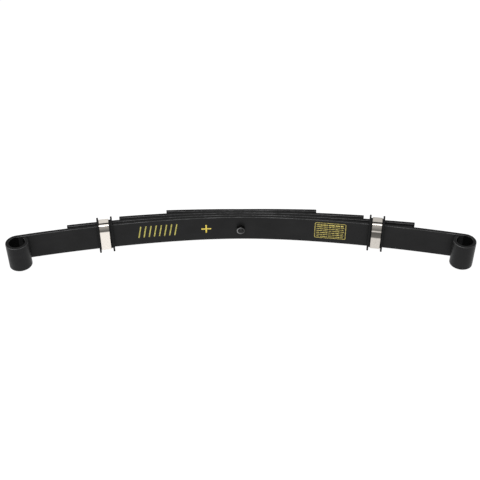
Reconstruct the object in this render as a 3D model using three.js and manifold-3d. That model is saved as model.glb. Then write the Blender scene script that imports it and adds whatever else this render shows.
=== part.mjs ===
// Four-leaf spring with rolled eyes, lying on the side edges of its leaves.
// Millimetres. +X along the spring, +Y from the main leaf to the short leaves, +Z across the leaf width.
// Every leaf follows one arc: a place is given by its station (the x of the point where the normal
// leaves the main leaf's front face) and its depth (the distance behind that face, along the normal).

import * as THREE from 'three';
import { mergeVertices } from 'three/addons/utils/BufferGeometryUtils.js';
import Module from 'manifold-3d';

const wasm = await Module();
wasm.setup();

// ---- driving dimensions ----
const EYE_HALF_SPAN = 345;       // centre line of the spring to the centre of either eye
const CAMBER = 48.5;             // fall of the main leaf's front face from the centre to the eyes
const ARC_SQUARE = 1.58;         // share of the camber that grows with the square of the distance
const ARC_CUBE = -0.92;          // share that grows with its cube; the fourth power takes the rest

const LEAF_WIDTH = 44.45;
const LEAF_THICKNESS = 5.4;
const LEAF_CHAMFER = 0.8;
const EYE_OUTER_RADIUS = 17.75;
const EYE_WRAP = 311 * Math.PI / 180;

const SECOND_HALF_LENGTH = 271.6;
const THIRD_HALF_LENGTH = 192;
const FOURTH_HALF_LENGTH = 117.8;
const THIRD_SHIFT = 1.2;         // the third leaf sits this much to the right on the centre bolt
const FOURTH_SHIFT = 1;          // and the fourth leaf this much
const CENTRE_GAP = 0.3;          // between two leaves at the centre bolt
const TIP_GAP = 3.2;             // between two leaves at the shorter one's tip
const RIGHT_TIP_EXTRA = 3.8;     // the second leaf stands this much further off at its right tip
const RIGHT_TIP_GROWTH = 3;
const GAP_GROWTH = 1.5;          // how the gap grows from the centre to the tip

const FLEX_STATION = 126;        // where an end of the spring turns against the clamped centre
const FLEX_HALF_SLIT = 0.5;      // half of the slit in the main leaf there
const SECOND_SLIT_EXTRA = 1.6;   // the second leaf's end starts this much further out
const THIRD_SLIT_EXTRA = 3.2;    // and the third leaf's end this much

const BOLT_RADIUS = 3.97;
const BOLT_HOLE_RADIUS = 4.3;
const BOLT_HEAD_RADIUS = 6.35;
const BOLT_HEAD_HEIGHT = 5;
const BOLT_EDGE = 0.8;           // chamfer of the bolt's head and end
const BOLT_PROUD = 1.6;          // bolt end past the nut
const BOLT_DIMPLE_RADIUS = 1.4;
const BOLT_DIMPLE_DEPTH = 0.8;
const NUT_FLATS = 12.7;
const NUT_HEIGHT = 6.7;
const SEAT_BOLT_HALF = 9;        // the facet that carries the bolt runs this far to each side
const SEAT_HALF = 34;            // and the axle seat's facets run on to here

const CLIP_STATION = 214.2;
const CLIP_LENGTH = 24.4;        // along the leaf, over both lips of the liner
const CLIP_CLEARANCE = 0.25;     // liner to leaf, and band to liner
const LINER_WALL = 0.9;
const LINER_LIP = 2.8;           // thickness of a lip along the leaf
const LIP_HEIGHT = 5.6;          // lip edge out from the leaves' faces and lower sides
const UPPER_LIP_HEIGHT = 4.4;    // and above their upper sides
const LIP_CORNER = 2.2;          // corner radius of the lip's outer edge
const BAND_WIDTH = 15.4;
const LEFT_BAND_SHIFT = 1.3;     // from the middle of its clip towards the eye
const RIGHT_BAND_SHIFT = 0.6;
const BAND_WALL = 1.4;
const BAND_CORNER = 3;           // outer bend radius of the band
const SEAM_WIDTH = 3.6;          // between the band's two ends, on its upper side
const SEAM_FROM_FRONT = 5;      // middle of the seam behind the band's front face

const PAD_LENGTH = 24;
const PAD_INSET = 4;             // from the leaf tip to the pad
const PAD_WIDTH = 36;
const PAD_CLEARANCE = 0.3;

const STEP_LENGTH = 18;          // longest facet along a leaf
const ARC_SEGMENTS = 26;         // facets round an eye
const ROUND_SEGMENTS = 24;       // facets round the bolt

// ---- the arc that all leaves follow ----
function fall(x) {
  const u = Math.abs(x) / EYE_HALF_SPAN;
  return -CAMBER * (ARC_SQUARE * u ** 2 + ARC_CUBE * u ** 3 + (1 - ARC_SQUARE - ARC_CUBE) * u ** 4);
}

function slopeAngle(x) {
  const u = Math.abs(x) / EYE_HALF_SPAN;
  const steepness = 2 * ARC_SQUARE * u + 3 * ARC_CUBE * u ** 2 + 4 * (1 - ARC_SQUARE - ARC_CUBE) * u ** 3;
  return Math.sign(x) * Math.atan(CAMBER / EYE_HALF_SPAN * steepness);
}

function place(station, depth) {
  const angle = slopeAngle(station);
  return new THREE.Vector2(station + depth * Math.sin(angle), fall(station) + depth * Math.cos(angle));
}

function gapAt(station, halfLength) {
  return CENTRE_GAP + (TIP_GAP - CENTRE_GAP) * (Math.abs(station) / halfLength) ** GAP_GROWTH;
}

function secondGapAt(station) {
  const rightShare = Math.max(station, 0) / SECOND_HALF_LENGTH;
  return gapAt(station, SECOND_HALF_LENGTH) + RIGHT_TIP_EXTRA * rightShare ** RIGHT_TIP_GROWTH;
}

// Depth of each leaf's front face.
const frontOf = {
  main: () => 0,
  second: (s) => frontOf.main(s) + LEAF_THICKNESS + secondGapAt(s),
  third: (s) => frontOf.second(s) + LEAF_THICKNESS + gapAt(s, THIRD_HALF_LENGTH),
  fourth: (s) => frontOf.third(s) + LEAF_THICKNESS + gapAt(s, FOURTH_HALF_LENGTH),
};

// ---- solids ----
function toSolid(geometry) {
  const bare = geometry.clone();
  bare.deleteAttribute('normal');
  bare.deleteAttribute('uv');
  const merged = mergeVertices(bare, 1e-4);
  return new wasm.Manifold(new wasm.Mesh({
    numProp: 3,
    vertProperties: new Float32Array(merged.attributes.position.array),
    triVerts: new Uint32Array(merged.index.array),
  }));
}

function toGeometry(solid) {
  const mesh = solid.getMesh();
  const geometry = new THREE.BufferGeometry();
  geometry.setAttribute('position', new THREE.BufferAttribute(new Float32Array(mesh.vertProperties), 3));
  geometry.setIndex(new THREE.BufferAttribute(new Uint32Array(mesh.triVerts), 1));
  geometry.computeVertexNormals();
  return geometry;
}

function cut(geometry, tool) {
  return toGeometry(toSolid(geometry).subtract(toSolid(tool)));
}

function join(geometries) {
  return toGeometry(geometries.map(toSolid).reduce((all, one) => all.add(one)));
}

// An outline in the plane of the arc, raised across the leaf width with chamfered long edges.
function raise(outline, width, chamfer) {
  const geometry = new THREE.ExtrudeGeometry(new THREE.Shape(outline), {
    depth: width - 2 * chamfer,
    bevelEnabled: chamfer > 0,
    bevelThickness: chamfer,
    bevelSize: chamfer,
    bevelOffset: -chamfer,
    bevelSegments: 1,
  });
  geometry.translate(0, 0, (LEAF_WIDTH - width) / 2 + chamfer);
  return geometry;
}

function stationsBetween(from, to) {
  const steps = Math.max(1, Math.ceil(Math.abs(to - from) / STEP_LENGTH));
  return Array.from({ length: steps + 1 }, (_, i) => from + (to - from) * i / steps);
}

// Stations of a piece that spans the centre, with the facets of the bolt and the axle seat.
function stationsAcross(leftHalf, rightHalf) {
  const outwards = (half) => [SEAT_BOLT_HALF, ...stationsBetween(SEAT_HALF, half)];
  return [...outwards(leftHalf).map((s) => -s).reverse(), ...outwards(rightHalf)];
}

function barOutline(stations, front, back) {
  const near = stations.map((s) => place(s, front(s)));
  const far = stations.map((s) => place(s, back(s)));
  return [...near, ...far.reverse()];
}

function leafBar(stations, front) {
  return raise(barOutline(stations, front, (s) => front(s) + LEAF_THICKNESS), LEAF_WIDTH, LEAF_CHAMFER);
}

function boltHole() {
  const length = 8 * LEAF_THICKNESS;
  const hole = new THREE.CylinderGeometry(BOLT_HOLE_RADIUS, BOLT_HOLE_RADIUS, length, ROUND_SEGMENTS);
  hole.translate(0, length / 4, LEAF_WIDTH / 2);
  return hole;
}

// ---- leaves ----
function leafMiddle(half, front, shift = 0) {
  return cut(leafBar(stationsAcross(half - shift, half + shift), front), boltHole());
}

function leafEnd(side, slitExtra, halfLength, front) {
  const start = FLEX_STATION + FLEX_HALF_SLIT + slitExtra;
  return leafBar(stationsBetween(side * start, side * halfLength), front);
}

// The main leaf's end: a bar that rolls forward into the eye and closes on its own front face.
function mainLeafEnd(side) {
  const boreRadius = EYE_OUTER_RADIUS - LEAF_THICKNESS;
  const endAngle = slopeAngle(EYE_HALF_SPAN);
  const eyeStation = EYE_HALF_SPAN + boreRadius * Math.sin(endAngle);
  const angle = slopeAngle(eyeStation);
  const centre = place(eyeStation, -boreRadius);
  const onRoll = (radius, turned) => new THREE.Vector2(
    centre.x + radius * Math.sin(angle + turned),
    centre.y + radius * Math.cos(angle + turned),
  );
  const turns = Array.from({ length: ARC_SEGMENTS }, (_, i) => EYE_WRAP * (i + 1) / ARC_SEGMENTS);
  const stations = stationsBetween(FLEX_STATION + FLEX_HALF_SLIT, eyeStation);
  const outline = [
    ...stations.map((s) => place(s, 0)),
    ...turns.map((turned) => onRoll(boreRadius, turned)),
    ...turns.map((turned) => onRoll(EYE_OUTER_RADIUS, turned)).reverse(),
    ...stations.map((s) => place(s, LEAF_THICKNESS)).reverse(),
  ];
  return raise(outline.map((p) => new THREE.Vector2(side * p.x, p.y)), LEAF_WIDTH, LEAF_CHAMFER);
}

// ---- tip pads ----
function tipPad(side, halfLength, leafBefore, leafBehind) {
  const outer = halfLength - PAD_INSET;
  const stations = stationsBetween(side * (outer - PAD_LENGTH), side * outer);
  const front = (s) => leafBefore(s) + LEAF_THICKNESS + PAD_CLEARANCE;
  const back = (s) => leafBehind(s) - PAD_CLEARANCE;
  return raise(barOutline(stations, front, back), PAD_WIDTH, 0);
}

// ---- centre bolt and nut, along Y ----
const centreBack = frontOf.fourth(0) + LEAF_THICKNESS;
const nutBack = place(SEAT_BOLT_HALF, 0).y - CENTRE_GAP;

function centreBolt() {
  const end = nutBack - NUT_HEIGHT - BOLT_PROUD;
  const seat = centreBack + CENTRE_GAP;
  const top = seat + BOLT_HEAD_HEIGHT;
  const profile = [
    [0, end + BOLT_DIMPLE_DEPTH],
    [BOLT_DIMPLE_RADIUS, end],
    [BOLT_RADIUS - BOLT_EDGE, end],
    [BOLT_RADIUS, end + BOLT_EDGE],
    [BOLT_RADIUS, seat],
    [BOLT_HEAD_RADIUS, seat],
    [BOLT_HEAD_RADIUS, top - BOLT_EDGE],
    [BOLT_HEAD_RADIUS - BOLT_EDGE, top],
    [0, top],
  ].map(([radius, y]) => new THREE.Vector2(radius, y));
  const bolt = new THREE.LatheGeometry(profile, ROUND_SEGMENTS);
  bolt.translate(0, 0, LEAF_WIDTH / 2);
  return toGeometry(toSolid(bolt));
}

function centreNut() {
  const cornerRadius = NUT_FLATS / Math.sqrt(3);
  const corners = Array.from({ length: 6 }, (_, i) => new THREE.Vector2(
    cornerRadius * Math.cos((i + 0.5) * Math.PI / 3),
    cornerRadius * Math.sin((i + 0.5) * Math.PI / 3),
  ));
  const shape = new THREE.Shape(corners);
  const bore = new THREE.Path();
  bore.absarc(0, 0, BOLT_HOLE_RADIUS, 0, 2 * Math.PI, true);
  shape.holes.push(bore);
  const nut = new THREE.ExtrudeGeometry(shape, {
    depth: NUT_HEIGHT,
    bevelEnabled: false,
    curveSegments: ROUND_SEGMENTS / 2,
  });
  nut.rotateX(Math.PI / 2);
  nut.translate(0, nutBack, LEAF_WIDTH / 2);
  return nut;
}

// ---- clips round the main and second leaves ----
// A clip is drawn in its own section plane: x is depth behind the main leaf's front face, y is height.
// The gap widens towards the tip, so the outer end of the clip decides how deep its loop is.
function clipStackDepth(side) {
  return frontOf.second(side * (CLIP_STATION + CLIP_LENGTH / 2)) + LEAF_THICKNESS;
}

function clipRectangle(side, offset, corner, upperOffset = offset) {
  const [x0, x1] = [-offset, clipStackDepth(side) + offset];
  const [y0, y1] = [-offset, LEAF_WIDTH + upperOffset];
  const shape = new THREE.Shape();
  shape.moveTo(x0 + corner, y0);
  shape.lineTo(x1 - corner, y0);
  shape.absarc(x1 - corner, y0 + corner, corner, -Math.PI / 2, 0, false);
  shape.lineTo(x1, y1 - corner);
  shape.absarc(x1 - corner, y1 - corner, corner, 0, Math.PI / 2, false);
  shape.lineTo(x0 + corner, y1);
  shape.absarc(x0 + corner, y1 - corner, corner, Math.PI / 2, Math.PI, false);
  shape.lineTo(x0, y0 + corner);
  shape.absarc(x0 + corner, y0 + corner, corner, Math.PI, 1.5 * Math.PI, false);
  return shape;
}

// A ring round the leaves between two offsets, from one distance along the leaf to another.
function clipRing(side, inner, outer, corner, from, to, upperOuter = outer) {
  const shape = clipRectangle(side, outer, corner, upperOuter);
  shape.holes.push(clipRectangle(side, inner, Math.max(corner - (outer - inner), LEAF_CHAMFER)));
  const ring = new THREE.ExtrudeGeometry(shape, { depth: to - from, bevelEnabled: false, curveSegments: 4 });
  ring.translate(0, 0, from);
  return ring;
}

// Turns a clip piece from its section plane to its station on the spring.
function standOnLeaf(geometry, side) {
  const station = side * CLIP_STATION;
  const angle = slopeAngle(station);
  const origin = place(station, 0);
  const normal = new THREE.Vector3(Math.sin(angle), Math.cos(angle), 0);
  const up = new THREE.Vector3(0, 0, 1);
  const along = new THREE.Vector3().crossVectors(normal, up);
  const turn = new THREE.Matrix4().makeBasis(normal, up, along);
  geometry.applyMatrix4(turn);
  geometry.translate(origin.x, origin.y, 0);
  return geometry;
}

function clipLiner(side) {
  const wallOuter = CLIP_CLEARANCE + LINER_WALL;
  const half = CLIP_LENGTH / 2;
  const web = clipRing(side, CLIP_CLEARANCE, wallOuter, wallOuter, -half, half);
  const lips = [[-half, LINER_LIP - half], [half - LINER_LIP, half]].map(([from, to]) => (
    clipRing(side, CLIP_CLEARANCE, LIP_HEIGHT, LIP_CORNER, from, to, UPPER_LIP_HEIGHT)
  ));
  return standOnLeaf(join([web, ...lips]), side);
}

function clipBand(side) {
  const inner = 2 * CLIP_CLEARANCE + LINER_WALL;
  const outer = inner + BAND_WALL;
  const middle = side < 0 ? -LEFT_BAND_SHIFT : RIGHT_BAND_SHIFT;
  const ring = clipRing(side, inner, outer, BAND_CORNER, middle - BAND_WIDTH / 2, middle + BAND_WIDTH / 2);
  const seam = new THREE.BoxGeometry(SEAM_WIDTH, 4 * BAND_WALL, 2 * BAND_WIDTH);
  seam.translate(SEAM_FROM_FRONT - outer, LEAF_WIDTH + outer, 0);
  return standOnLeaf(cut(ring, seam), side);
}

// ---- materials ----
const leafPaint = new THREE.MeshStandardMaterial({ color: 0x17181a, roughness: 0.42, metalness: 0.2 });
const boltSteel = new THREE.MeshStandardMaterial({ color: 0x1d1e20, roughness: 0.5, metalness: 0.7 });
const bandSteel = new THREE.MeshStandardMaterial({ color: 0xd6d4cf, roughness: 0.3, metalness: 1.0 });
const linerRubber = new THREE.MeshStandardMaterial({ color: 0x0b0b0c, roughness: 0.7, metalness: 0.0 });
const padPlastic = new THREE.MeshStandardMaterial({ color: 0x101011, roughness: 0.6, metalness: 0.0 });

// ---- assembly ----
const group = new THREE.Group();

function add(name, geometry, material) {
  const mesh = new THREE.Mesh(geometry, material);
  mesh.name = name;
  group.add(mesh);
}

const middleHalf = FLEX_STATION - FLEX_HALF_SLIT;
add('main_leaf_middle', leafMiddle(middleHalf, frontOf.main), leafPaint);
add('second_leaf_middle', leafMiddle(middleHalf, frontOf.second), leafPaint);
add('third_leaf_middle', leafMiddle(middleHalf, frontOf.third), leafPaint);
add('fourth_leaf', leafMiddle(FOURTH_HALF_LENGTH, frontOf.fourth, FOURTH_SHIFT), leafPaint);
add('centre_bolt', centreBolt(), boltSteel);
add('centre_nut', centreNut(), boltSteel);

for (const [label, side] of [['left', -1], ['right', 1]]) {
  const thirdTip = THIRD_HALF_LENGTH + side * THIRD_SHIFT;
  const fourthTip = FOURTH_HALF_LENGTH + side * FOURTH_SHIFT;
  const second = leafEnd(side, SECOND_SLIT_EXTRA, SECOND_HALF_LENGTH, frontOf.second);
  const third = leafEnd(side, THIRD_SLIT_EXTRA, thirdTip, frontOf.third);
  add(`main_leaf_${label}_end`, mainLeafEnd(side), leafPaint);
  add(`second_leaf_${label}_end`, second, leafPaint);
  add(`third_leaf_${label}_end`, third, leafPaint);
  add(`${label}_clip_liner`, clipLiner(side), linerRubber);
  add(`${label}_clip_band`, clipBand(side), bandSteel);
  add(`second_leaf_${label}_tip_pad`, tipPad(side, SECOND_HALF_LENGTH, frontOf.main, frontOf.second), padPlastic);
  add(`third_leaf_${label}_tip_pad`, tipPad(side, thirdTip, frontOf.second, frontOf.third), padPlastic);
  add(`fourth_leaf_${label}_tip_pad`, tipPad(side, fourthTip, frontOf.third, frontOf.fourth), padPlastic);
}

// The origin is the middle of the footprint, on the surface that the clip lips stand on.
const box = new THREE.Box3().setFromObject(group);
group.position.set(-(box.min.x + box.max.x) / 2, -(box.min.y + box.max.y) / 2, -box.min.z);

export default group;
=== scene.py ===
import math

import bmesh
import bpy
from mathutils import Matrix, Vector


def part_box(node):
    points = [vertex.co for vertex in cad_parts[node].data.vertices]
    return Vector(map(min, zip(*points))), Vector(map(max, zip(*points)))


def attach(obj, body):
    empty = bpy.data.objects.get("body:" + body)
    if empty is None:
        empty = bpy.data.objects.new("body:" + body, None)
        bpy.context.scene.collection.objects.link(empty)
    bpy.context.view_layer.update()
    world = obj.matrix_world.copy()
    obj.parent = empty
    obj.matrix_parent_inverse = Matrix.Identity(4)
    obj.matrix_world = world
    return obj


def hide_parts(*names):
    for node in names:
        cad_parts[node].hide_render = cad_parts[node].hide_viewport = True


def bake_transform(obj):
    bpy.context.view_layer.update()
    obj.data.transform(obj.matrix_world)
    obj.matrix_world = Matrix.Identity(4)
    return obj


# A four-leaf spring with rolled eyes, two strap clips and painted marks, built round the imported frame.
# A place on it is a station (distance along the main leaf from the centre bolt), a depth (distance behind
# the main leaf's front face) and a height (distance above the leaves' lower edges).

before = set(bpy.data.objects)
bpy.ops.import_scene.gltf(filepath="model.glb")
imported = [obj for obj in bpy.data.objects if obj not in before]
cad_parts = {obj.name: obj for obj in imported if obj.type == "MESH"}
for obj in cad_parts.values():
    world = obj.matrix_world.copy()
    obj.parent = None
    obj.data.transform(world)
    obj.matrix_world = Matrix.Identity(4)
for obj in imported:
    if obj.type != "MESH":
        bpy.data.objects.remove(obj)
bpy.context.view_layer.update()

MM = 0.001

# ---- sizes that the frame's solids have ----
EYE_HALF_SPAN = 345 * MM         # the spring's middle to the centre of either eye
CAMBER = 48.5 * MM               # fall of the main leaf's front face from the middle to the eyes
ARC_SQUARE = 1.58                # share of the camber that grows with the square of the distance
ARC_CUBE = -0.92                 # share that grows with its cube; the fourth power takes the rest
LEAF_THICKNESS = 5.4 * MM
EYE_OUTER_RADIUS = 17.75 * MM
EYE_BORE_RADIUS = EYE_OUTER_RADIUS - LEAF_THICKNESS
EYE_WRAP = math.radians(311)     # how far the leaf rolls round past the eye's station
SECOND_HALF_LENGTH = 271.6 * MM
THIRD_HALF_LENGTH = 192 * MM
FOURTH_HALF_LENGTH = 117.8 * MM
THIRD_SHIFT = 1.2 * MM           # the third leaf sits this much to the right on the centre bolt
FOURTH_SHIFT = 1.0 * MM          # and the fourth leaf this much
CENTRE_GAP = 0.3 * MM            # between two leaves at the centre bolt
TIP_GAP = 3.2 * MM               # between two leaves at the shorter one's tip
GAP_GROWTH = 1.5                 # how a gap grows from the centre to the tip
RIGHT_TIP_EXTRA = 3.8 * MM       # the second leaf stands this much further off at its right tip
RIGHT_TIP_GROWTH = 3
CLIP_STATION = 214.2 * MM
CLIP_LENGTH = 24.4 * MM          # along the leaf, over both lips of the liner
CLIP_CLEARANCE = 0.25 * MM       # liner to leaf, and band to liner
LINER_WALL = 0.9 * MM
LINER_LIP = 2.8 * MM             # thickness of a lip along the leaf
LIP_HEIGHT = 5.6 * MM            # out from the leaves' faces and lower sides
UPPER_LIP_HEIGHT = 4.4 * MM      # and above their upper sides
LIP_CORNER = 2.2 * MM
BAND_WIDTH = 15.4 * MM
BAND_SHIFT = {-1: -1.3 * MM, 1: 0.6 * MM}    # from the middle of its clip, to the right
BAND_WALL = 1.4 * MM
BAND_CORNER = 3 * MM             # outer bend radius of the band
BAND_INNER = 2 * CLIP_CLEARANCE + LINER_WALL
BAND_OUTER = BAND_INNER + BAND_WALL
SEAM_WIDTH = 3.6 * MM            # between the band's two ends, on its upper side
SEAM_FROM_FRONT = 5.0 * MM       # middle of the seam behind the band's front face
PAD_LENGTH = 24 * MM
PAD_INSET = 4 * MM               # from the leaf tip to the pad
PAD_WIDTH = 36 * MM
PAD_CLEARANCE = 0.3 * MM
BOLT_RADIUS = 3.97 * MM
BOLT_HOLE_RADIUS = 4.3 * MM

# ---- sizes of the fine surface ----
LEAF_ROUNDING = 1.0 * MM
BORE_MARGIN = 0.3 * MM           # a face this near to the bore's wall lies inside the eye
LEAF_STEP = 4 * MM               # between two rings of a leaf's mesh
MAIN_LEAF_STEP = 1.6 * MM        # finer, for the roll of the eye
PAD_ROUNDING = 0.6 * MM
LIP_ROUNDING = 0.6 * MM
BAND_ROUNDING = 0.35 * MM
BEND_START = 85 * MM             # a station, from the centre
BEND_END = 195 * MM              # and a second station, further out
THREAD_PITCH = 1.41 * MM
THREAD_DEPTH = 0.55 * MM
THREAD_START = 0.7 * MM          # from the bolt's end
SEAT_CHAMFER = 0.3 * MM          # of the bolt's head, on the side of the leaves
HEAD_ROUNDING = 0.9 * MM
NUT_MOUTH_RADIUS = 4.9 * MM
NUT_MOUTH_DEPTH = 0.4 * MM
NUT_CHAMFER = math.radians(30)
NUT_FACE = 0.97                  # its round flat face, as a share of its width across flats

# ---- painted marks ----
PAINT_THICKNESS = 0.08 * MM
PAINT_SINK = 0.02 * MM           # the back of the paint lies this deep in the leaf
STRIPE_COUNT = 8
FIRST_STRIPE = -161 * MM
LAST_STRIPE = -104 * MM
STRIPE_LOW = 13.5 * MM
STRIPE_HIGH = 35.5 * MM
STRIPE_LEAN = 2.2 * MM           # of either end of a stripe from its middle
STRIPE_WIDTH = 1.9 * MM
CROSS_STATION = -55.5 * MM
CROSS_HEIGHT = 22.5 * MM
CROSS_ARM = 7.8 * MM
CROSS_WIDTH = 2.3 * MM
LABEL_LEFT = 118.6 * MM
LABEL_RIGHT = 167 * MM
LABEL_LOW = 9.4 * MM
LABEL_HIGH = 39 * MM
LABEL_CORNER = 2 * MM
LABEL_LINE = 0.95 * MM
LABEL_ROWS = 7
ROW_MARGIN = 2.6 * MM            # from the label's left and right to its rows
ROW_SPACING = 3.8 * MM
FIRST_ROW_DROP = 4 * MM          # from the label's upper edge
FIRST_ROW_THICKNESS = 2.3 * MM
ROW_THICKNESS = 1.25 * MM
BAR_GAP = 1.2 * MM
BAR_LENGTHS = [(4.5 + 2.5 * i) * MM for i in range(4)]
LEAST_ROOM = 4 * MM              # no bar starts nearer than this to the label's right

# ---- camera ----
CAMERA_RIGHT = 0.31 * MM         # its place, from the main leaf's front face at the centre bolt
CAMERA_AWAY = 1133.5 * MM
CAMERA_HEIGHT = 911.3 * MM       # above the leaves' lower edges
CAMERA_YAW = math.radians(-0.081)
CAMERA_PITCH = math.radians(38.864)
CAMERA_ROLL = math.radians(-0.248)
CAMERA_LENS = 67.18              # focal length and sensor width, both in millimetres
CAMERA_SENSOR = 36

# ---- light ----
WALL_BRIGHTNESS = 0.35
CEILING_BRIGHTNESS = 0.9
WALL_TOP = 0.30                  # sine of the elevation where the walls start to turn white
CEILING_EDGE = 0.62              # and where they are as bright as the ceiling
FLOOR_HALF_SIZE = 90.0           # metres, so that its edge stays out of sight
FLOOR_GLOW = 0.98

fourth_low, fourth_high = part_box("fourth_leaf")
LEAF_LOW = fourth_low.z
LEAF_WIDTH = fourth_high.z - fourth_low.z
FRONT_AT_CENTRE = fourth_high.y - 4 * LEAF_THICKNESS - 3 * CENTRE_GAP
BODY_OF_SIDE = {-1: "left_arm", 1: "right_arm"}
LABEL_OF_SIDE = {-1: "left", 1: "right"}
BOLT_HEIGHT = LEAF_LOW + LEAF_WIDTH / 2


# ---- the arc that all leaves follow ----
def fall(x):
    """The y of the main leaf's front face at x, counted from its middle."""
    u = abs(x) / EYE_HALF_SPAN
    fourth = 1 - ARC_SQUARE - ARC_CUBE
    return -CAMBER * (ARC_SQUARE * u**2 + ARC_CUBE * u**3 + fourth * u**4)


def slope_angle(x):
    """The angle of that face to the spring's length, at x."""
    u = abs(x) / EYE_HALF_SPAN
    fourth = 1 - ARC_SQUARE - ARC_CUBE
    steepness = 2 * ARC_SQUARE * u + 3 * ARC_CUBE * u**2 + 4 * fourth * u**3
    return math.copysign(math.atan(CAMBER / EYE_HALF_SPAN * steepness), x)


def place(station, depth=0.0, height=0.0):
    """The point at a station, a depth and a height."""
    angle = slope_angle(station)
    x = station + depth * math.sin(angle)
    y = FRONT_AT_CENTRE + fall(station) + depth * math.cos(angle)
    return Vector((x, y, LEAF_LOW + height))


def gap_at(station, half_length):
    """The gap in front of a leaf of that half length."""
    return CENTRE_GAP + (TIP_GAP - CENTRE_GAP) * (abs(station) / half_length) ** GAP_GROWTH


def second_front(station):
    """Depth of the second leaf's front face; the next two functions give the third's and the fourth's."""
    right_share = max(station, 0) / SECOND_HALF_LENGTH
    gap = gap_at(station, SECOND_HALF_LENGTH) + RIGHT_TIP_EXTRA * right_share**RIGHT_TIP_GROWTH
    return LEAF_THICKNESS + gap


def third_front(station):
    return second_front(station) + LEAF_THICKNESS + gap_at(station, THIRD_HALF_LENGTH)


def fourth_front(station):
    return third_front(station) + LEAF_THICKNESS + gap_at(station, FOURTH_HALF_LENGTH)


# ---- mesh helpers ----
def make_object(name, vertices, faces, sharp_rings=()):
    """A smooth-shaded mesh object with outward normals, whose edges stay crisp within each sharp ring."""
    mesh = bpy.data.meshes.new(name)
    mesh.from_pydata([tuple(v) for v in vertices], [], faces)
    work = bmesh.new()
    work.from_mesh(mesh)
    bmesh.ops.recalc_face_normals(work, faces=work.faces)
    rings = [set(ring) for ring in sharp_rings]
    for face in work.faces:
        face.smooth = True
    for edge in work.edges:
        ends = {v.index for v in edge.verts}
        edge.smooth = not any(ends <= ring for ring in rings)
    work.to_mesh(mesh)
    work.free()
    made = bpy.data.objects.new(name, mesh)
    bpy.context.scene.collection.objects.link(made)
    normals = made.modifiers.new("weighted_normals", "WEIGHTED_NORMAL")
    normals.keep_sharp = True
    return made


def loft(name, rings, closed=False, flush_ends=(False, False)):
    """Joins rings of points into a closed body: a ring of rings, or a bar with a face on each end.
    flush_ends says which of the two end faces has a crisp edge."""
    size = len(rings[0])
    vertices = [point for ring in rings for point in ring]
    faces = []
    spans = len(rings) if closed else len(rings) - 1
    for i in range(spans):
        here = i * size
        there = (i + 1) % len(rings) * size
        for j in range(size):
            after = (j + 1) % size
            faces.append((here + j, here + after, there + after, there + j))
    sharp = []
    if not closed:
        first = list(range(size))
        last = list(range((len(rings) - 1) * size, len(rings) * size))
        faces += [first[::-1], last]
        sharp = [ring for ring, flush in zip((first, last), flush_ends) if flush]
    return make_object(name, vertices, faces, sharp)


def rounded_section(depth, width, rounding, inset=0.0, steps=4):
    """Outline of a bar's section, as (depth, height) points, drawn in by inset on all sides."""
    radius = max(rounding - inset, 0.05 * MM)
    points = []
    corners = [
        (depth - inset - radius, inset + radius, -90),
        (depth - inset - radius, width - inset - radius, 0),
        (inset + radius, width - inset - radius, 90),
        (inset + radius, inset + radius, 180),
    ]
    for centre_depth, centre_height, first in corners:
        for i in range(steps + 1):
            angle = math.radians(first + 90 * i / steps)
            points.append((centre_depth + radius * math.cos(angle), centre_height + radius * math.sin(angle)))
    return points


def spaced(start, end, step):
    """Evenly spaced values from start to end, no further apart than step."""
    count = max(1, math.ceil(abs(end - start) / step))
    return [start + (end - start) * i / count for i in range(count + 1)]


def bar(name, track, start, end, width=None, rounding=LEAF_ROUNDING, step=LEAF_STEP, thickness=None, low=0.0,
        round_start=False):
    """A bar along track(u, depth, height) from start to end, with rounded long edges and a rounded end."""
    width = LEAF_WIDTH if width is None else width
    thickness = (lambda u: LEAF_THICKNESS) if thickness is None else thickness
    direction = math.copysign(1, end - start)
    turns = [math.radians(90 * i / 4) for i in range(1, 5)]
    stations = []
    if round_start:
        for turn in reversed(turns):
            u = start + direction * rounding * (1 - math.sin(turn))
            stations.append((u, rounding * (1 - math.cos(turn))))
    first = start + direction * rounding if round_start else start
    stations += [(u, 0.0) for u in spaced(first, end - direction * rounding, step)]
    for turn in turns:
        u = end - direction * rounding * (1 - math.sin(turn))
        stations.append((u, rounding * (1 - math.cos(turn))))
    rings = []
    for u, inset in stations:
        section = rounded_section(thickness(u), width, rounding, inset)
        rings.append([track(u, depth, low + height) for depth, height in section])
    return loft(name, rings, flush_ends=(not round_start, False))


# ---- materials ----
# Colours are linear red, green and blue. Most of a noise's values lie in MOST_NOISE.
MOST_NOISE = (0.3, 0.7)
FULL = (0, 1)


def new_material(name, base, roughness, metallic, specular):
    """A material with its node tree and shader. Nodes may take over its base colour and roughness."""
    material = bpy.data.materials.new(name)
    material.use_nodes = True
    shader = material.node_tree.nodes["Principled BSDF"]
    shader.inputs["Base Color"].default_value = (*base, 1)
    shader.inputs["Roughness"].default_value = roughness
    shader.inputs["Metallic"].default_value = metallic
    shader.inputs["Specular IOR Level"].default_value = specular
    return material, material.node_tree, shader


def position(tree, scale=(1, 1, 1)):
    """The point on the object, stretched by scale."""
    coordinates = tree.nodes.new("ShaderNodeTexCoord")
    mapping = tree.nodes.new("ShaderNodeMapping")
    mapping.inputs["Scale"].default_value = scale
    tree.links.new(coordinates.outputs["Object"], mapping.inputs["Vector"])
    return mapping.outputs["Vector"]


def noise(tree, vector, scale, detail, rough):
    """A noise of that scale, in cycles per metre of the vector."""
    node = tree.nodes.new("ShaderNodeTexNoise")
    node.inputs["Scale"].default_value = scale
    node.inputs["Detail"].default_value = detail
    node.inputs["Roughness"].default_value = rough
    tree.links.new(vector, node.inputs["Vector"])
    return node.outputs["Fac"]


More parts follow.
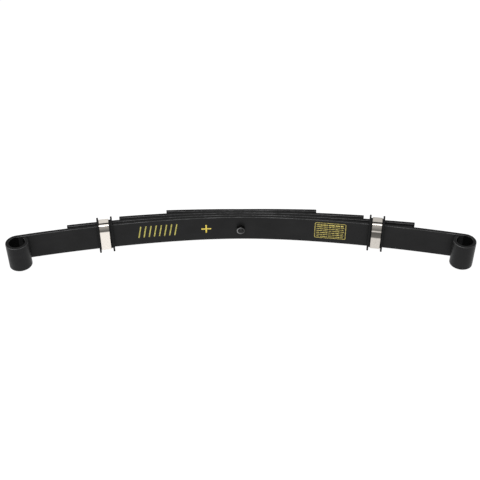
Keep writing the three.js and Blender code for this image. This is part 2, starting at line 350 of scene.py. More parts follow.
def remap(tree, value, from_range, to_range):
    """The value's place in from_range, carried over to to_range and held within it."""
    node = tree.nodes.new("ShaderNodeMapRange")
    node.inputs["From Min"].default_value, node.inputs["From Max"].default_value = from_range
    node.inputs["To Min"].default_value, node.inputs["To Max"].default_value = to_range
    tree.links.new(value, node.inputs["Value"])
    return node.outputs["Result"]


def blend_colours(tree, factor, first, second):
    """Mixes two colours, each a tuple or a socket, by a factor socket."""
    node = tree.nodes.new("ShaderNodeMix")
    node.data_type = "RGBA"
    tree.links.new(factor, node.inputs["Factor"])
    for socket, colour in ((node.inputs["A"], first), (node.inputs["B"], second)):
        if isinstance(colour, tuple):
            socket.default_value = (*colour, 1)
        else:
            tree.links.new(colour, socket)
    return node.outputs["Result"]


def combine(tree, operation, first, second):
    """first operation second, where each is a number or a socket."""
    node = tree.nodes.new("ShaderNodeMath")
    node.operation = operation
    for socket, value in zip(node.inputs, (first, second)):
        if isinstance(value, (int, float)):
            socket.default_value = value
        else:
            tree.links.new(value, socket)
    return node.outputs["Value"]


def add_bump(tree, shader, height, strength, distance):
    """Lets a height socket bend the shader's normal; distance is the relief's depth."""
    node = tree.nodes.new("ShaderNodeBump")
    node.inputs["Strength"].default_value = strength
    node.inputs["Distance"].default_value = distance
    tree.links.new(height, node.inputs["Height"])
    tree.links.new(node.outputs["Normal"], shader.inputs["Normal"])


def edge_wear(tree, radius, low, high):
    """1 on worn convex edges, 0 elsewhere."""
    geometry = tree.nodes.new("ShaderNodeNewGeometry")
    bevel = tree.nodes.new("ShaderNodeBevel")
    bevel.samples = 4
    bevel.inputs["Radius"].default_value = radius
    dot = tree.nodes.new("ShaderNodeVectorMath")
    dot.operation = "DOT_PRODUCT"
    tree.links.new(geometry.outputs["Normal"], dot.inputs[0])
    tree.links.new(bevel.outputs["Normal"], dot.inputs[1])
    return remap(tree, dot.outputs["Value"], (high, low), FULL)


def corner_masks(tree):
    """Masks for the rounded long edges that face the front from above, where a highlight is painted, for the
    other long edges and for the upper sides, where shade is painted."""
    coordinates = tree.nodes.new("ShaderNodeTexCoord")
    normal = tree.nodes.new("ShaderNodeSeparateXYZ")
    tree.links.new(coordinates.outputs["Normal"], normal.inputs["Vector"])
    steep = combine(tree, "ABSOLUTE", normal.outputs["Z"], 0)
    leaves_face = remap(tree, steep, (0.12, 0.35), FULL)
    meets_side = remap(tree, steep, (0.97, 0.88), FULL)
    corner = combine(tree, "MULTIPLY", leaves_face, meets_side)
    facing_up = remap(tree, normal.outputs["Z"], (-0.05, 0.05), FULL)
    facing_front = remap(tree, normal.outputs["Y"], (0.05, -0.05), FULL)
    # painted highlight: the rounded long edges that face the front from above
    painted_light = combine(tree, "MULTIPLY", corner, combine(tree, "MULTIPLY", facing_up, facing_front))
    upper_side = remap(tree, normal.outputs["Z"], (0.90, 0.98), FULL)
    return painted_light, combine(tree, "SUBTRACT", corner, painted_light), upper_side


def leaf_paint():
    """Satin black dip paint over rolled spring steel: a fine orange peel with the bar's scale under it, a
    painted grey highlight along the upper front edges, broken up by noise, painted shade and a duller surface
    along the others, and painted shade on the upper sides."""
    dark_coat, light_coat = (0.0082, 0.0082, 0.0083), (0.0140, 0.0140, 0.0143)
    upper_shade, edge_shade = (0.002, 0.002, 0.002), (0.0015, 0.0015, 0.0016)
    faint_highlight, strong_highlight = (0.030, 0.030, 0.0305), (0.075, 0.075, 0.0765)
    material, tree, shader = new_material("leaf_paint", (0.013, 0.013, 0.0135), 0.4, 0.0, 0.1)
    where = position(tree)
    along = position(tree, (0.25, 0.25, 1.0))
    clouds = noise(tree, where, 26, 5, 0.6)
    streaks = noise(tree, along, 120, 4, 0.6)
    peel = noise(tree, where, 900, 3, 0.5)
    highlight_noise = noise(tree, position(tree, (0.35, 0.35, 1.0)), 130, 4, 0.6)

    tone = combine(tree, "MULTIPLY", remap(tree, clouds, MOST_NOISE, FULL), streaks)
    colour = blend_colours(tree, tone, dark_coat, light_coat)
    painted_light, shaded_edges, upper_side = corner_masks(tree)
    # painted shade: the upper sides are made darker
    colour = blend_colours(tree, combine(tree, "MULTIPLY", upper_side, 0.6), colour, upper_shade)
    # painted highlight along the upper front edges, broken up by noise between a faint and a strong grey
    edge = blend_colours(tree, remap(tree, highlight_noise, (0.42, 0.66), FULL), faint_highlight, strong_highlight)
    colour = blend_colours(tree, painted_light, colour, edge)
    # painted shade: the other long edges are made darker; the same mask also makes them rougher
    colour = blend_colours(tree, shaded_edges, colour, edge_shade)
    tree.links.new(colour, shader.inputs["Base Color"])

    gloss = combine(tree, "ADD", remap(tree, clouds, MOST_NOISE, (0.31, 0.42)),
                    remap(tree, peel, MOST_NOISE, (-0.03, 0.03)))
    gloss = combine(tree, "ADD", gloss, combine(tree, "MULTIPLY", shaded_edges, 0.4))
    tree.links.new(gloss, shader.inputs["Roughness"])
    height = combine(tree, "ADD", combine(tree, "MULTIPLY", peel, 0.35),
                     combine(tree, "ADD", combine(tree, "MULTIPLY", clouds, 0.6), streaks))
    add_bump(tree, shader, height, 0.35, 0.12 * MM)
    return material


def bore_shade():
    """Painted shade inside the eyes: darker than the leaf paint, with a rougher surface."""
    material, tree, shader = new_material("bore_shade", (0.0015, 0.0015, 0.0015), 0.8, 0.0, 0.04)
    grain = noise(tree, position(tree), 600, 4, 0.6)
    tree.links.new(blend_colours(tree, grain, (0.0008, 0.0008, 0.0008), (0.0026, 0.0026, 0.0027)),
                   shader.inputs["Base Color"])
    tree.links.new(remap(tree, grain, MOST_NOISE, (0.72, 0.9)), shader.inputs["Roughness"])
    add_bump(tree, shader, grain, 0.3, 0.08 * MM)
    return material


def bolt_oxide():
    """Black oxide, rubbed to bare steel on its edges."""
    bare_steel = (0.32, 0.32, 0.325)
    material, tree, shader = new_material("bolt_oxide", (0.016, 0.016, 0.016), 0.38, 0.7, 0.5)
    grain = noise(tree, position(tree), 700, 4, 0.6)
    clouds = noise(tree, position(tree), 160, 3, 0.5)
    oxide = blend_colours(tree, clouds, (0.006, 0.006, 0.0062), (0.020, 0.0198, 0.0195))
    worn = combine(tree, "MULTIPLY", edge_wear(tree, 0.5 * MM, 0.75, 0.98),
                   remap(tree, grain, (0.35, 0.6), (0.2, 0.9)))
    tree.links.new(blend_colours(tree, worn, oxide, bare_steel), shader.inputs["Base Color"])
    tree.links.new(remap(tree, grain, MOST_NOISE, (0.3, 0.48)), shader.inputs["Roughness"])
    add_bump(tree, shader, grain, 0.3, 0.05 * MM)
    return material


def nut_oxide():
    """Black oxide, with a painted grey highlight on the face towards the front, strongest on its left and
    turning to painted shade towards its right.
    """
    lit_left, shaded_right = (0.20, 0.20, 0.20), (0.045, 0.045, 0.045)
    material, tree, shader = new_material("nut_oxide", (0.05, 0.05, 0.05), 0.4, 0.7, 0.3)
    grain = noise(tree, position(tree), 700, 4, 0.6)
    coordinates = tree.nodes.new("ShaderNodeTexCoord")
    normal = tree.nodes.new("ShaderNodeSeparateXYZ")
    where = tree.nodes.new("ShaderNodeSeparateXYZ")
    tree.links.new(coordinates.outputs["Normal"], normal.inputs["Vector"])
    tree.links.new(coordinates.outputs["Object"], where.inputs["Vector"])
    faces_front = remap(tree, normal.outputs["Y"], (-0.55, -0.9), FULL)
    ragged = combine(tree, "ADD", where.outputs["X"], combine(tree, "MULTIPLY", grain, 4 * MM))
    # painted light: the face towards the front is grey, brightest on the left and darker to the right
    painted_light = blend_colours(tree, remap(tree, ragged, (-3 * MM, 7 * MM), FULL), lit_left, shaded_right)
    oxide = blend_colours(tree, grain, (0.003, 0.003, 0.003), (0.009, 0.009, 0.009))
    tree.links.new(blend_colours(tree, faces_front, oxide, painted_light), shader.inputs["Base Color"])
    tree.links.new(remap(tree, grain, MOST_NOISE, (0.34, 0.5)), shader.inputs["Roughness"])
    add_bump(tree, shader, grain, 0.3, 0.05 * MM)
    return material


def band_steel(name, painted_brightness, painted_reflections):
    """Strip steel, brushed along the strip; the second argument scales its brightness, which paints shade on
    a band that gets less light. Each range of the last argument is a range of heights on the front face,
    counted from the leaves' lower edges, where a dark reflection is painted, and how strong that painted
    reflection is at either end of it."""
    dark = tuple(painted_brightness * c for c in (0.78, 0.73, 0.665))
    light = tuple(painted_brightness * c for c in (0.905, 0.85, 0.78))
    reflected_dark = (0.045, 0.042, 0.037)
    fade = 1.0 * MM
    material, tree, shader = new_material(name, light, 0.27, 1.0, 0.5)
    where = position(tree)
    brushed = noise(tree, position(tree, (1.0, 1.0, 0.1)), 2200, 4, 0.65)
    blotches = noise(tree, where, 75, 4, 0.6)
    split = tree.nodes.new("ShaderNodeSeparateXYZ")
    tree.links.new(where, split.inputs["Vector"])
    height = combine(tree, "ADD", split.outputs["Z"], combine(tree, "MULTIPLY", blotches, 1.2 * MM))

    colour = blend_colours(tree, remap(tree, brushed, MOST_NOISE, FULL), dark, light)
    # painted reflection: each range paints a dark band across the front face, its edges wobbled by noise
    for low, high, dark_low, dark_high in painted_reflections:
        bottom, top = LEAF_LOW + low, LEAF_LOW + high
        darkness = remap(tree, height, (bottom, top), (dark_low, dark_high))
        rises = remap(tree, height, (bottom - fade, bottom + fade), FULL)
        falls = remap(tree, height, (top + fade, top - fade), FULL)
        inside = combine(tree, "MULTIPLY", combine(tree, "MULTIPLY", rises, falls), darkness)
        colour = blend_colours(tree, inside, colour, reflected_dark)
    tree.links.new(colour, shader.inputs["Base Color"])

    gloss = combine(tree, "ADD", remap(tree, brushed, MOST_NOISE, (0.22, 0.34)),
                    remap(tree, blotches, (0.35, 0.65), (-0.03, 0.05)))
    tree.links.new(gloss, shader.inputs["Roughness"])
    add_bump(tree, shader, brushed, 0.25, 0.03 * MM)
    return material


def liner_rubber():
    """Dull black rubber with a fine grain."""
    material, tree, shader = new_material("liner_rubber", (0.004, 0.004, 0.0042), 0.6, 0.0, 0.12)
    grain = noise(tree, position(tree), 1500, 3, 0.6)
    clouds = noise(tree, position(tree), 180, 3, 0.5)
    tree.links.new(blend_colours(tree, clouds, (0.0025, 0.0025, 0.0027), (0.006, 0.006, 0.0063)),
                   shader.inputs["Base Color"])
    tree.links.new(remap(tree, grain, MOST_NOISE, (0.5, 0.68)), shader.inputs["Roughness"])
    add_bump(tree, shader, grain, 0.3, 0.05 * MM)
    return material


def pad_plastic():
    """Moulded black plastic with a fine grain."""
    material, tree, shader = new_material("pad_plastic", (0.012, 0.012, 0.013), 0.6, 0.0, 0.4)
    grain = noise(tree, position(tree), 1100, 4, 0.6)
    tree.links.new(blend_colours(tree, grain, (0.008, 0.008, 0.009), (0.017, 0.017, 0.018)),
                   shader.inputs["Base Color"])
    tree.links.new(remap(tree, grain, MOST_NOISE, (0.52, 0.7)), shader.inputs["Roughness"])
    add_bump(tree, shader, grain, 0.4, 0.05 * MM)
    return material


def mark_paint(name, dark, light):
    """Thin yellow marking paint between two tones, that lets a little of the black show through."""
    black_below = (0.05, 0.048, 0.02)
    material, tree, shader = new_material(name, light, 0.55, 0.0, 0.3)
    grain = noise(tree, position(tree), 900, 4, 0.6)
    patches = noise(tree, position(tree), 240, 3, 0.5)
    colour = blend_colours(tree, remap(tree, patches, (0.35, 0.65), FULL), dark, light)
    thin = remap(tree, grain, (0.30, 0.42), (0.35, 0.0))
    tree.links.new(blend_colours(tree, thin, colour, black_below), shader.inputs["Base Color"])
    tree.links.new(remap(tree, grain, MOST_NOISE, (0.5, 0.65)), shader.inputs["Roughness"])
    add_bump(tree, shader, grain, 0.2, 0.03 * MM)
    return material


LEAF_PAINT = leaf_paint()
BORE_SHADE = bore_shade()
BOLT_OXIDE = bolt_oxide()
NUT_OXIDE = nut_oxide()
# the right band is a darker copy of the left, as painted shade; each list paints dark reflections on a band's
# front face
BAND_STEEL = {
    -1: band_steel("left_band_steel", 1.0, [(34.8 * MM, 46.2 * MM, 0.98, 0.62)]),
    1: band_steel("right_band_steel", 0.71, [
        (20.8 * MM, 32.4 * MM, 0.82, 0.93),
        (35.0 * MM, 46.2 * MM, 0.90, 0.45),
    ]),
}
LINER_RUBBER = liner_rubber()
PAD_PLASTIC = pad_plastic()
STRIPE_PAINT = mark_paint("mark_paint", (0.26, 0.235, 0.05), (0.40, 0.36, 0.09))
LABEL_PAINT = mark_paint("label_paint", (0.22, 0.18, 0.042), (0.50, 0.42, 0.115))
CROSS_PAINT = mark_paint("cross_paint", (0.46, 0.35, 0.042), (0.66, 0.525, 0.095))


def finish_piece(piece, material, slot, *nodes):
    """Gives a piece its material, and puts it in the place of its nodes. slot is not used."""
    piece.data.materials.append(material)
    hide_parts(*nodes)


def bend_with_arm(piece, side):
    """Works out the places at BEND_START and BEND_END, which go unused, and bakes the piece's transform into
    its mesh.
    """
    place(side * BEND_START)
    place(side * BEND_END)
    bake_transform(piece)


# ---- leaves ----
def leaf_track(front):
    """The way along a leaf whose front face lies at the depth front(u), for bar()."""
    return lambda u, depth, height: place(u, front(u) + depth, height)


def eye_geometry(side):
    """Where an eye's roll starts: the station, the turn of the leaf there, and the eye's centre."""
    station = EYE_HALF_SPAN + EYE_BORE_RADIUS * math.sin(slope_angle(EYE_HALF_SPAN))
    return station, slope_angle(station), place(side * station, -EYE_BORE_RADIUS)


def main_track(side):
    """The way along the main leaf and on round its eye, where u is measured on the roll's middle line."""
    station, angle, centre = eye_geometry(side)

    def track(u, depth, height):
        distance = abs(u)
        if distance <= station:
            return place(side * distance, depth, height)
        turned = angle + (distance - station) / (EYE_BORE_RADIUS + LEAF_THICKNESS / 2)
        radius = EYE_BORE_RADIUS + depth
        x = centre.x + side * radius * math.sin(turned)
        return Vector((x, centre.y + radius * math.cos(turned), LEAF_LOW + height))

    return track


def shade_bore(piece, side):
    """Gives the faces inside the eye the painted shade."""
    _, _, centre = eye_geometry(side)
    piece.data.materials.append(BORE_SHADE)
    for face in piece.data.polygons:
        if math.dist(face.center.xy, centre.xy) < EYE_BORE_RADIUS + BORE_MARGIN:
            face.material_index = 1


def half_nodes(side, rank):
    """The nodes that one half of a bending leaf stands for; the right half also stands for the middle."""
    end = f"{rank}_leaf_{LABEL_OF_SIDE[side]}_end"
    return [end, f"{rank}_leaf_middle"] if side == 1 else [end]


def main_leaf(side):
    """One half of the main leaf, with its eye."""
    station, _, _ = eye_geometry(side)
    length = station + EYE_WRAP * (EYE_BORE_RADIUS + LEAF_THICKNESS / 2)
    name = f"main_leaf_{LABEL_OF_SIDE[side]}_half"
    piece = bar(name, main_track(side), 0, side * length, step=MAIN_LEAF_STEP)
    finish_piece(piece, LEAF_PAINT, "leaf_paint", *half_nodes(side, "main"))
    shade_bore(piece, side)
    bend_with_arm(piece, side)


def middle_leaf(side, rank, front, half_length):
    """One half of the second or the third leaf."""
    piece = bar(f"{rank}_leaf_{LABEL_OF_SIDE[side]}_half", leaf_track(front), 0, side * half_length)
    finish_piece(piece, LEAF_PAINT, "leaf_paint", *half_nodes(side, rank))
    bend_with_arm(piece, side)


def fourth_leaf():
    left_tip = FOURTH_SHIFT - FOURTH_HALF_LENGTH
    right_tip = FOURTH_SHIFT + FOURTH_HALF_LENGTH
    piece = bar("fourth_leaf_bar", leaf_track(fourth_front), left_tip, right_tip, round_start=True)
    finish_piece(piece, LEAF_PAINT, "leaf_paint", "fourth_leaf")
    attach(piece, "centre")


# ---- tip pads ----
def tip_pad(side, rank, half_length, before, behind, body):
    """A moulded pad between the tip of a leaf and the leaf in front of it."""
    label = LABEL_OF_SIDE[side]
    outer = half_length - PAD_INSET

    def front(u):
        return before(u) + LEAF_THICKNESS + PAD_CLEARANCE

    def thickness(u):
        return behind(u) - PAD_CLEARANCE - front(u)

    piece = bar(f"{rank}_leaf_{label}_pad", leaf_track(front), side * (outer - PAD_LENGTH), side * outer,
                width=PAD_WIDTH, rounding=PAD_ROUNDING, thickness=thickness, low=(LEAF_WIDTH - PAD_WIDTH) / 2,
                round_start=True)
    finish_piece(piece, PAD_PLASTIC, "pad_plastic", f"{rank}_leaf_{label}_tip_pad")
    if body == "centre":
        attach(piece, body)
    else:
        bend_with_arm(piece, side)


# ---- clips ----
def clip_depth(side):
    """How deep a clip's loop is: the leaves stand furthest apart at its outer end."""
    return second_front(side * (CLIP_STATION + CLIP_LENGTH / 2)) + LEAF_THICKNESS


def clip_place(side, along, depth, height):
    """A point of a clip, whose own axes stay straight where the leaf under it curves."""
    station = side * CLIP_STATION
    angle = slope_angle(station)
    return place(station, depth, height) + along * Vector((math.cos(angle), -math.sin(angle), 0))


def upper_offset(offset):
    """A lip stands less high above the leaves than out from them; all that lies under the lips is even."""
    if offset <= BAND_OUTER:
        return offset
    return BAND_OUTER + (offset - BAND_OUTER) * (UPPER_LIP_HEIGHT - BAND_OUTER) / (LIP_HEIGHT - BAND_OUTER)


def loop_points(side, offset, corner, steps=8):
    """A closed loop of (depth, height) points round the clipped leaves, at an offset outside them, with
    rounded corners. It starts above the leaves, and runs down behind them and up again in front of them."""
    back = clip_depth(side) + offset
    top = LEAF_WIDTH + upper_offset(offset)
    corners = [
        (back - corner, top - corner, 90),
        (back - corner, corner - offset, 0),
        (corner - offset, corner - offset, -90),
        (corner - offset, top - corner, 180),
    ]
    points = []
    for centre_depth, centre_height, first in corners:
        for i in range(steps + 1):
            angle = math.radians(first - 90 * i / steps)
            depth = centre_depth + corner * math.cos(angle)
            points.append((depth, centre_height + corner * math.sin(angle)))
    return points


def sweep_round(name, side, outline, corner_at, ends=()):
    """Sweeps an outline of (along, offset) points round the clipped leaves. corner_at(offset) is the corner
    radius at an offset. With ends, a pair of depths on the upper side, the loop is open there."""
    loops = []
    for along, offset in outline:
        loop = loop_points(side, offset, corner_at(offset))
        if ends:
            back_end, front_end = ends
            top = LEAF_WIDTH + upper_offset(offset)
            loop = [(back_end, top), *loop, (front_end, top)]
        loops.append([clip_place(side, along, depth, height) for depth, height in loop])
    rings = [list(ring) for ring in zip(*loops)]
    return loft(name, rings, closed=not ends, flush_ends=(True, True))


def lip_outline(edge, steps=3):
    """The top of the lip whose outer wall is at edge, from that wall inwards, with two rounded corners."""
    direction = math.copysign(1, edge)
    top = LIP_HEIGHT - LIP_ROUNDING
    outer = edge - direction * LIP_ROUNDING
    inner = edge - direction * (LINER_LIP - LIP_ROUNDING)
    points = []
    for middle, first in ((outer, 0), (inner, 90)):
        for i in range(steps + 1):
            turn = math.radians(first + 90 * i / steps)
            along = middle + direction * LIP_ROUNDING * math.cos(turn)
            points.append((along, top + LIP_ROUNDING * math.sin(turn)))
    return points


def liner_corner(offset):
    """Corner radius of the liner: tight on the leaves, softer at the lips' edges."""
    share = (offset - CLIP_CLEARANCE) / (LIP_HEIGHT - CLIP_CLEARANCE)
    return LINER_WALL + (LIP_CORNER - LINER_WALL) * share


def clip_liner(side):
    """A black channel round both leaves, with a lip standing up at each edge."""
    label = LABEL_OF_SIDE[side]
    half = CLIP_LENGTH / 2
    web = CLIP_CLEARANCE + LINER_WALL
    outline = [
        (-half, CLIP_CLEARANCE),
        (half, CLIP_CLEARANCE),
        *lip_outline(half),
        (half - LINER_LIP, web),
        (LINER_LIP - half, web),
        *reversed(lip_outline(-half)),
    ]
    piece = sweep_round(f"{label}_clip_channel", side, outline, liner_corner)
    finish_piece(piece, LINER_RUBBER, "liner_rubber", f"{label}_clip_liner")
    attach(piece, BODY_OF_SIDE[side])


def band_corner(offset):
    """Bend radius of the band, which shares its centre with the outer bend."""
    return BAND_CORNER - (BAND_OUTER - offset)


def clip_band(side):
    """A steel strap bent round the liner, its two ends facing each other over a seam on the upper side."""
    label = LABEL_OF_SIDE[side]
    seam = SEAM_FROM_FRONT - BAND_OUTER
    ends = (seam + SEAM_WIDTH / 2, seam - SEAM_WIDTH / 2)
    outline = [(BAND_SHIFT[side] + across - BAND_WIDTH / 2, BAND_INNER + out)
               for out, across in rounded_section(BAND_WALL, BAND_WIDTH, BAND_ROUNDING)]
    piece = sweep_round(f"{label}_clip_strap", side, outline, band_corner, ends)
    finish_piece(piece, BAND_STEEL[side], "band_steel", f"{label}_clip_band")
    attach(piece, BODY_OF_SIDE[side])


# ---- painted marks on the main leaf's front face ----
def stroke(points, width):
    """The two edges of a painted stroke through (station, height) points, as pairs of such points."""
    edges = []
    for i, (station, height) in enumerate(points):
        before = points[max(i - 1, 0)]
        after = points[min(i + 1, len(points) - 1)]
        direction = Vector((after[0] - before[0], after[1] - before[1])).normalized()
        across = Vector((-direction.y, direction.x)) * width / 2
        edges.append(((station + across.x, height + across.y), (station - across.x, height - across.y)))
    return edges


def mark_piece(name, strokes, paint):
    """One thin closed slab of paint for each stroke, following the leaf's front face."""
    vertices, faces = [], []
    for edges in strokes:
        first = len(vertices)
        for one, other in edges:
            for station, height in (one, other):
                vertices.append(place(station, -PAINT_THICKNESS, height))
                vertices.append(place(station, PAINT_SINK, height))
        for i in range(len(edges) - 1):
            a = first + 4 * i
            b = a + 4
            faces += [(a, a + 2, b + 2, b), (a + 1, b + 1, b + 3, a + 3)]
            faces += [(a, b, b + 1, a + 1), (a + 2, a + 3, b + 3, b + 2)]
        end = first + 4 * (len(edges) - 1)
        faces += [(first, first + 1, first + 3, first + 2), (end, end + 2, end + 3, end + 1)]
    piece = make_object(name, vertices, faces)
    piece.data.materials.append(paint)
    return piece


def straight(start, end, step=2 * MM):
    """Points along a straight stroke from start to end, each a (station, height) pair."""
    count = max(1, math.ceil(math.dist(start, end) / step))
    return [(start[0] + (end[0] - start[0]) * i / count, start[1] + (end[1] - start[1]) * i / count)
            for i in range(count + 1)]


def batch_stripes():
    """A row of plain slanted stripes."""
    strokes = []
    for i in range(STRIPE_COUNT):
        station = FIRST_STRIPE + (LAST_STRIPE - FIRST_STRIPE) * i / (STRIPE_COUNT - 1)
        line = straight((station - STRIPE_LEAN, STRIPE_LOW), (station + STRIPE_LEAN, STRIPE_HIGH))
        strokes.append(stroke(line, STRIPE_WIDTH))
    piece = mark_piece("batch_stripes", strokes, STRIPE_PAINT)
    bend_with_arm(piece, -1)


def cross_mark():
    """A plus sign: one level stroke, and one that ends at it from below and from above."""
    station, height, half = CROSS_STATION, CROSS_HEIGHT, CROSS_WIDTH / 2
    lines = [
        straight((station - CROSS_ARM, height), (station + CROSS_ARM, height)),
        straight((station, height - CROSS_ARM), (station, height - half)),
        straight((station, height + half), (station, height + CROSS_ARM)),
    ]
    piece = mark_piece("cross_mark", [stroke(line, CROSS_WIDTH) for line in lines], CROSS_PAINT)
    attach(piece, "centre")


def label_frame():
    """The label's outline, with rounded corners, as one stroke."""
    left, right = LABEL_LEFT + LABEL_CORNER, LABEL_RIGHT - LABEL_CORNER
    low, high = LABEL_LOW + LABEL_CORNER, LABEL_HIGH - LABEL_CORNER
    outline = []
    for station, height, first in ((right, high, 90), (right, low, 0), (left, low, -90), (left, high, 180)):
        for i in range(7):
            angle = math.radians(first - 15 * i)
            along = station + LABEL_CORNER * math.cos(angle)
            outline.append((along, height + LABEL_CORNER * math.sin(angle)))
    outline.append(outline[0])
    dense = []
    for start, end in zip(outline, outline[1:]):
        dense += straight(start, end)[:-1]
    dense.append(outline[0])
    return stroke(dense, LABEL_LINE)


def label_row(row):
    """One row of plain bars of four lengths, in an order that changes from row to row."""
    height = LABEL_HIGH - FIRST_ROW_DROP - row * ROW_SPACING
    thickness = FIRST_ROW_THICKNESS if row == 0 else ROW_THICKNESS
    row_end = LABEL_RIGHT - ROW_MARGIN
    station = LABEL_LEFT + ROW_MARGIN
    turn = row
    strokes = []
    while station < LABEL_RIGHT - LEAST_ROOM:
        length = BAR_LENGTHS[(turn * 7 + row * 3) % len(BAR_LENGTHS)]
        stop = min(station + length, row_end)
        strokes.append(stroke(straight((station, height), (stop, height)), thickness))
        station = stop + BAR_GAP
        turn += 1
    return strokes


def label_block():
    """A rounded frame filled with rows of plain bars."""
    strokes = [label_frame()]
    for row in range(LABEL_ROWS):
        strokes += label_row(row)
    piece = mark_piece("label_block", strokes, LABEL_PAINT)
    bend_with_arm(piece, 1)


# ---- centre bolt and nut ----
def turned_part(name, profile, count=64):
    """A body turned about the bolt's axis, from (radius, y) points that start and end on the axis."""
    vertices, faces = [], []
    rings = []
    for radius, y in profile:
        if radius == 0:
            rings.append([len(vertices)])
            vertices.append(Vector((0, y, BOLT_HEIGHT)))
            continue
        rings.append(list(range(len(vertices), len(vertices) + count)))
        for i in range(count):
            angle = 2 * math.pi * i / count
            x = radius * math.cos(angle)
            vertices.append(Vector((x, y, BOLT_HEIGHT + radius * math.sin(angle))))
    for one, other in zip(rings, rings[1:]):
        for i in range(count):
            j = (i + 1) % count
            if len(one) == 1:
                faces.append((one[0], other[i], other[j]))
            elif len(other) == 1:
                faces.append((one[i], one[j], other[0]))
            else:
                faces.append((one[i], one[j], other[j], other[i]))
    return make_object(name, vertices, faces)


def bolt_profile():
    """A slightly dished end, a thread as far as the nut's back, a plain shank and a round head."""
    low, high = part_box("centre_bolt")
    _, nut_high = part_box("centre_nut")
    head_radius = (high.x - low.x) / 2
    end = low.y
    seat = fourth_high.y + CENTRE_GAP
    profile = [(0, end + 0.25 * MM), (1.2 * MM, end + 0.12 * MM)]
    profile += [(2.4 * MM, end), (2.9 * MM, end + 0.15 * MM)]
    y = end + THREAD_START
    while y < nut_high.y:
        profile.append((BOLT_RADIUS - THREAD_DEPTH, y))
        profile.append((BOLT_RADIUS, y + THREAD_PITCH * 0.42))
        profile.append((BOLT_RADIUS, y + THREAD_PITCH * 0.58))
        y += THREAD_PITCH
    profile += [(BOLT_RADIUS, y), (BOLT_RADIUS, seat)]
    profile += [(head_radius - SEAT_CHAMFER, seat), (head_radius, seat + SEAT_CHAMFER)]
    for i in range(7):
        angle = math.radians(15 * i)
        radius = head_radius - HEAD_ROUNDING * (1 - math.cos(angle))
        profile.append((radius, high.y - HEAD_ROUNDING * (1 - math.sin(angle))))
    profile += [(head_radius * 0.5, high.y), (0, high.y)]
    return profile


def centre_bolt():
    piece = turned_part("centre_bolt_turned", bolt_profile())
    finish_piece(piece, BOLT_OXIDE, "bolt_steel", "centre_bolt")
    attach(piece, "centre")


def centre_nut(count=96):
    """A hexagon with both faces chamfered round its corners, and a bore."""
    low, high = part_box("centre_nut")
    half_flats = (high.x - low.x) / 2
    corner_radius = half_flats / math.cos(math.radians(30))
    chamfer_radius = half_flats * NUT_FACE

    def hex_radius(angle):
        sixth = math.radians(60)
        return half_flats / math.cos((angle + sixth / 2) % sixth - sixth / 2)

    def ring(radius_of, y_of):
        points = []
        for i in range(count):
            angle = 2 * math.pi * i / count
            radius = radius_of(angle)
            x = radius * math.cos(angle)
            points.append(Vector((x, y_of(radius), BOLT_HEIGHT + radius * math.sin(angle))))
        return points

    def round_ring(radius, y):
        return ring(lambda _: radius, lambda _: y)

    def edge_ring(face, inwards):
        """Where the chamfer of a face runs out on the flats, deepest at the corners."""
        slope = inwards * math.tan(NUT_CHAMFER)
        return ring(hex_radius, lambda radius: face + (radius - chamfer_radius) * slope)

    rings = [
        round_ring(BOLT_HOLE_RADIUS, low.y + NUT_MOUTH_DEPTH),
        round_ring(NUT_MOUTH_RADIUS, low.y),
        round_ring(chamfer_radius, low.y),
        edge_ring(low.y, 1),
        edge_ring(high.y, -1),
        round_ring(chamfer_radius, high.y),
        round_ring(NUT_MOUTH_RADIUS, high.y),
        round_ring(BOLT_HOLE_RADIUS, high.y - NUT_MOUTH_DEPTH),
    ]
    piece = loft("centre_nut_hexagon", rings, closed=True)
    for edge in piece.data.edges:
        ends = [piece.data.vertices[i].co for i in edge.vertices]
        from_axis = [math.hypot(point.x, point.z - BOLT_HEIGHT) for point in ends]
        edge.use_edge_sharp = all(abs(distance - corner_radius) < 0.05 * MM for distance in from_axis)
    finish_piece(piece, NUT_OXIDE, "bolt_steel", "centre_nut")
    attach(piece, "centre")


# ---- the whole spring ----
fourth_leaf()
centre_bolt()
centre_nut()
for side in (-1, 1):
    third_tip = THIRD_HALF_LENGTH + side * THIRD_SHIFT
    fourth_tip = FOURTH_HALF_LENGTH + side * FOURTH_SHIFT
    main_leaf(side)
    middle_leaf(side, "second", second_front, SECOND_HALF_LENGTH)
    middle_leaf(side, "third", third_front, third_tip)
    clip_liner(side)
    clip_band(side)
    tip_pad(side, "second", SECOND_HALF_LENGTH, lambda u: 0.0, second_front, BODY_OF_SIDE[side])
    tip_pad(side, "third", third_tip, second_front, third_front, BODY_OF_SIDE[side])
    tip_pad(side, "fourth", fourth_tip, third_front, fourth_front, "centre")
batch_stripes()
cross_mark()
label_block()


# ---- floor, light and camera ----
def floor():
    """A white table lit from below, which leaves hardly any shadow."""
    half = FLOOR_HALF_SIZE
    mesh = bpy.data.meshes.new("floor")
    corners = [(-half, -half, 0), (half, -half, 0), (half, half, 0), (-half, half, 0)]
    mesh.from_pydata(corners, [], [(0, 1, 2, 3)])
    plane = bpy.data.objects.new("floor", mesh)
    bpy.context.scene.collection.objects.link(plane)
    material, _, shader = new_material("floor_glass", (0.06, 0.06, 0.06), 0.9, 0.0, 0.1)
    shader.inputs["Emission Color"].default_value = (1, 1, 1, 1)
    shader.inputs["Emission Strength"].default_value = FLOOR_GLOW
    mesh.materials.append(material)


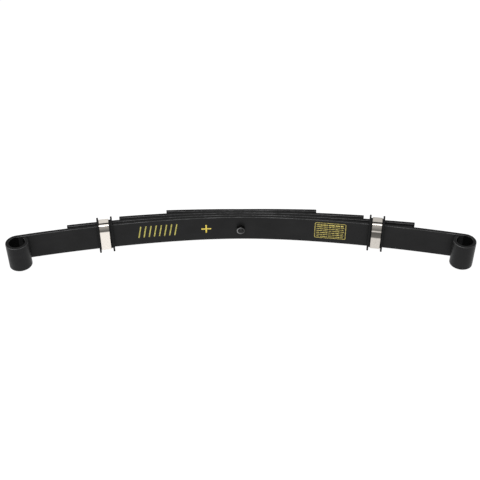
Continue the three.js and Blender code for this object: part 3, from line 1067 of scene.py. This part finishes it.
def softbox(name, location, size, power):
    """A rectangular light, aimed at the spring's middle."""
    light = bpy.data.lights.new(name, "AREA")
    light.shape = "RECTANGLE"
    light.size, light.size_y = size
    light.energy = power
    lamp = bpy.data.objects.new(name, light)
    lamp.location = location
    lamp.rotation_euler = (-Vector(location)).to_track_quat("-Z", "Y").to_euler()
    bpy.context.scene.collection.objects.link(lamp)


def world_light():
    """A studio that is white overhead and grey round the walls."""
    world = bpy.data.worlds.new("studio")
    world.use_nodes = True
    tree = world.node_tree
    background = tree.nodes["Background"]
    direction = tree.nodes.new("ShaderNodeTexCoord")
    split = tree.nodes.new("ShaderNodeSeparateXYZ")
    tree.links.new(direction.outputs["Generated"], split.inputs["Vector"])
    brightness = remap(tree, split.outputs["Z"], (WALL_TOP, CEILING_EDGE),
                       (WALL_BRIGHTNESS, CEILING_BRIGHTNESS))
    tree.links.new(brightness, background.inputs["Strength"])
    background.inputs["Color"].default_value = (1, 1, 1, 1)
    bpy.context.scene.world = world


def camera():
    """Above and in front of the spring, looking down at its middle."""
    location = Vector((CAMERA_RIGHT, FRONT_AT_CENTRE - CAMERA_AWAY, LEAF_LOW + CAMERA_HEIGHT))
    forward = Vector((
        math.sin(CAMERA_YAW) * math.cos(CAMERA_PITCH),
        math.cos(CAMERA_YAW) * math.cos(CAMERA_PITCH),
        -math.sin(CAMERA_PITCH),
    ))
    level = Vector((math.cos(CAMERA_YAW), -math.sin(CAMERA_YAW), 0))
    upward = level.cross(forward)
    right = math.cos(CAMERA_ROLL) * level + math.sin(CAMERA_ROLL) * upward
    above = -math.sin(CAMERA_ROLL) * level + math.cos(CAMERA_ROLL) * upward
    data = bpy.data.cameras.new("camera")
    data.sensor_width = CAMERA_SENSOR
    data.lens = CAMERA_LENS
    made = bpy.data.objects.new("camera", data)
    rotation = Matrix((right, above, -forward)).transposed()
    made.matrix_world = Matrix.Translation(location) @ rotation.to_4x4()
    bpy.context.scene.collection.objects.link(made)
    bpy.context.scene.camera = made


floor()
world_light()
softbox("softbox_front", location=(-0.1, -0.85, 1.15), size=(1.8, 0.5), power=22)
softbox("softbox_left", location=(-1.5, 0.1, 0.7), size=(0.5, 0.8), power=5)
camera()
bpy.context.scene.view_settings.view_transform = "Standard"
